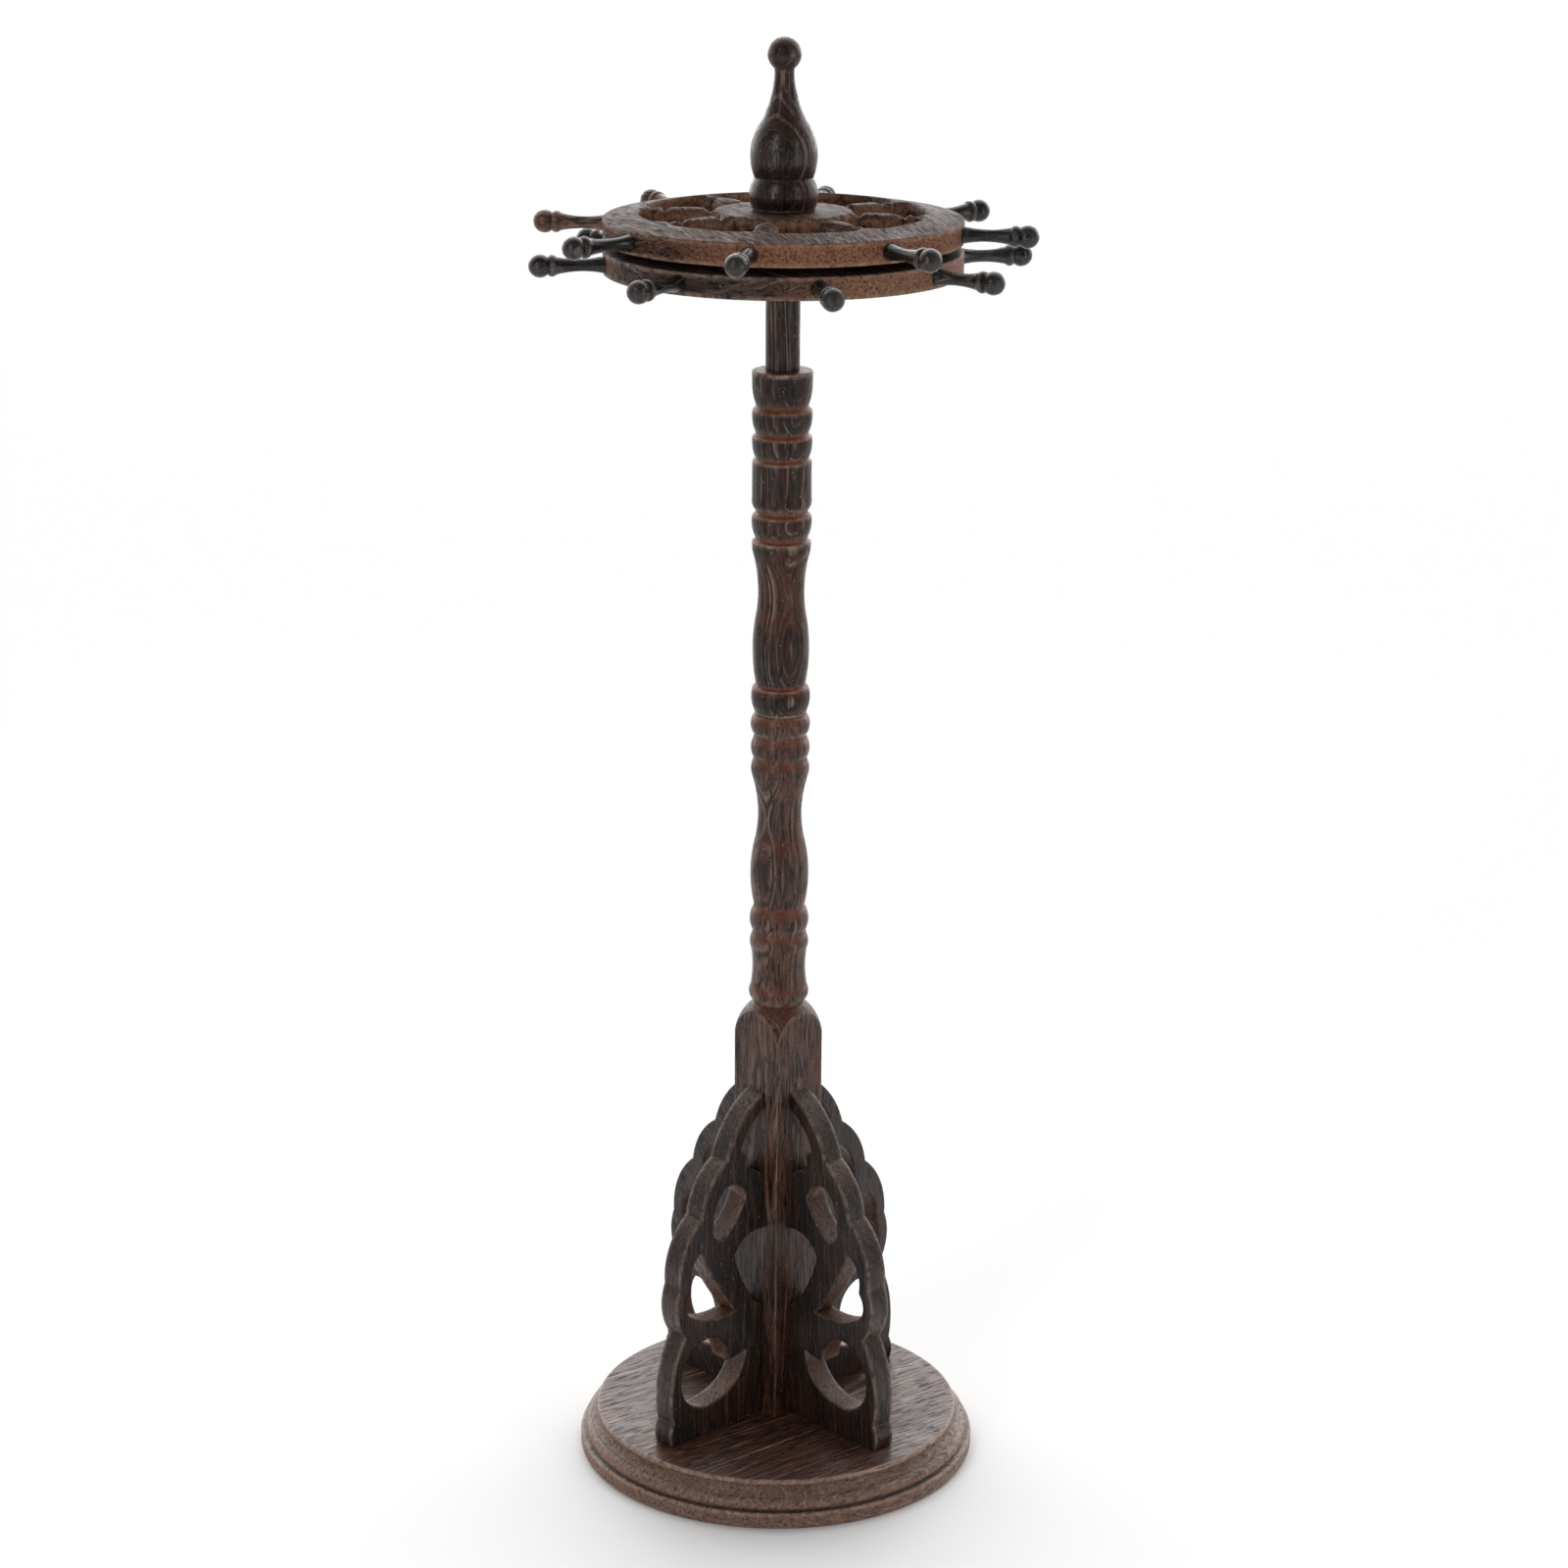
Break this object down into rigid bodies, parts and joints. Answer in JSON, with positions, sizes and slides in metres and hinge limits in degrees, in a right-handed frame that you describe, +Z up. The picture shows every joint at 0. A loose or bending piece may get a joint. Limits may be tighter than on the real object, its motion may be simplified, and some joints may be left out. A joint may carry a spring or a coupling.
{
  "type": "revolving mug tree",
  "caption": "Revolving wooden tree: ball-ended pegs radiate from stacked ship's-wheel discs on a turned column with pierced scalloped brackets and a round stepped base.",
  "frame": {"origin": "centre of the underside of the round base", "axes": "+Z up along the column, -Y the front, so that the four brackets stand on the diagonals"},
  "size_m": [0.1496, 0.1496, 0.4482],
  "materials": {
    "base_wood": "oiled dark hardwood, straight pale grain lines, satin wax",
    "column_wood": "turned dark hardwood, redder in the grooves, satin wax",
    "wheel_wood": "sawn and rounded brown hardwood, satin wax",
    "bracket_wood": "fretsawn dark hardwood, edges worn paler, satin wax",
    "peg_wood": "turned near-black hardwood, satin wax",
    "finial_wood": "turned dark hardwood with fine vertical grain, satin wax",
    "screw_steel": "plain zinc-plated steel"
  },
  "bodies": {
    "stand": {"base": "base_wood", "base_screw": "screw_steel", "lower_column": "column_wood", "upper_column": "column_wood", "axle_rod": "column_wood", "finial": "finial_wood", "bracket_dowels": "peg_wood", "front_left_bracket": "bracket_wood", "front_right_bracket": "bracket_wood", "back_right_bracket": "bracket_wood", "back_left_bracket": "bracket_wood"},
    "lower_wheel": {"lower_wheel": "wheel_wood", "lower_peg_1": "peg_wood", "lower_peg_2": "peg_wood", "lower_peg_3": "peg_wood", "lower_peg_4": "peg_wood", "lower_peg_5": "peg_wood", "lower_peg_6": "peg_wood", "lower_peg_7": "peg_wood", "lower_peg_8": "peg_wood"},
    "upper_wheel": {"upper_wheel": "wheel_wood", "upper_peg_1": "peg_wood", "upper_peg_2": "peg_wood", "upper_peg_3": "peg_wood", "upper_peg_4": "peg_wood", "upper_peg_5": "peg_wood", "upper_peg_6": "peg_wood", "upper_peg_7": "peg_wood", "upper_peg_8": "peg_wood"}
  },
  "joints": [
    {"name": "lower_wheel_spin", "type": "hinge", "parent": "stand", "child": "lower_wheel", "pos_m": [0, 0, 0.384], "axis": [0, 0, 1], "continuous": true},
    {"name": "upper_wheel_spin", "type": "hinge", "parent": "stand", "child": "upper_wheel", "pos_m": [0, 0, 0.393], "axis": [0, 0, 1], "continuous": true}
  ]
}
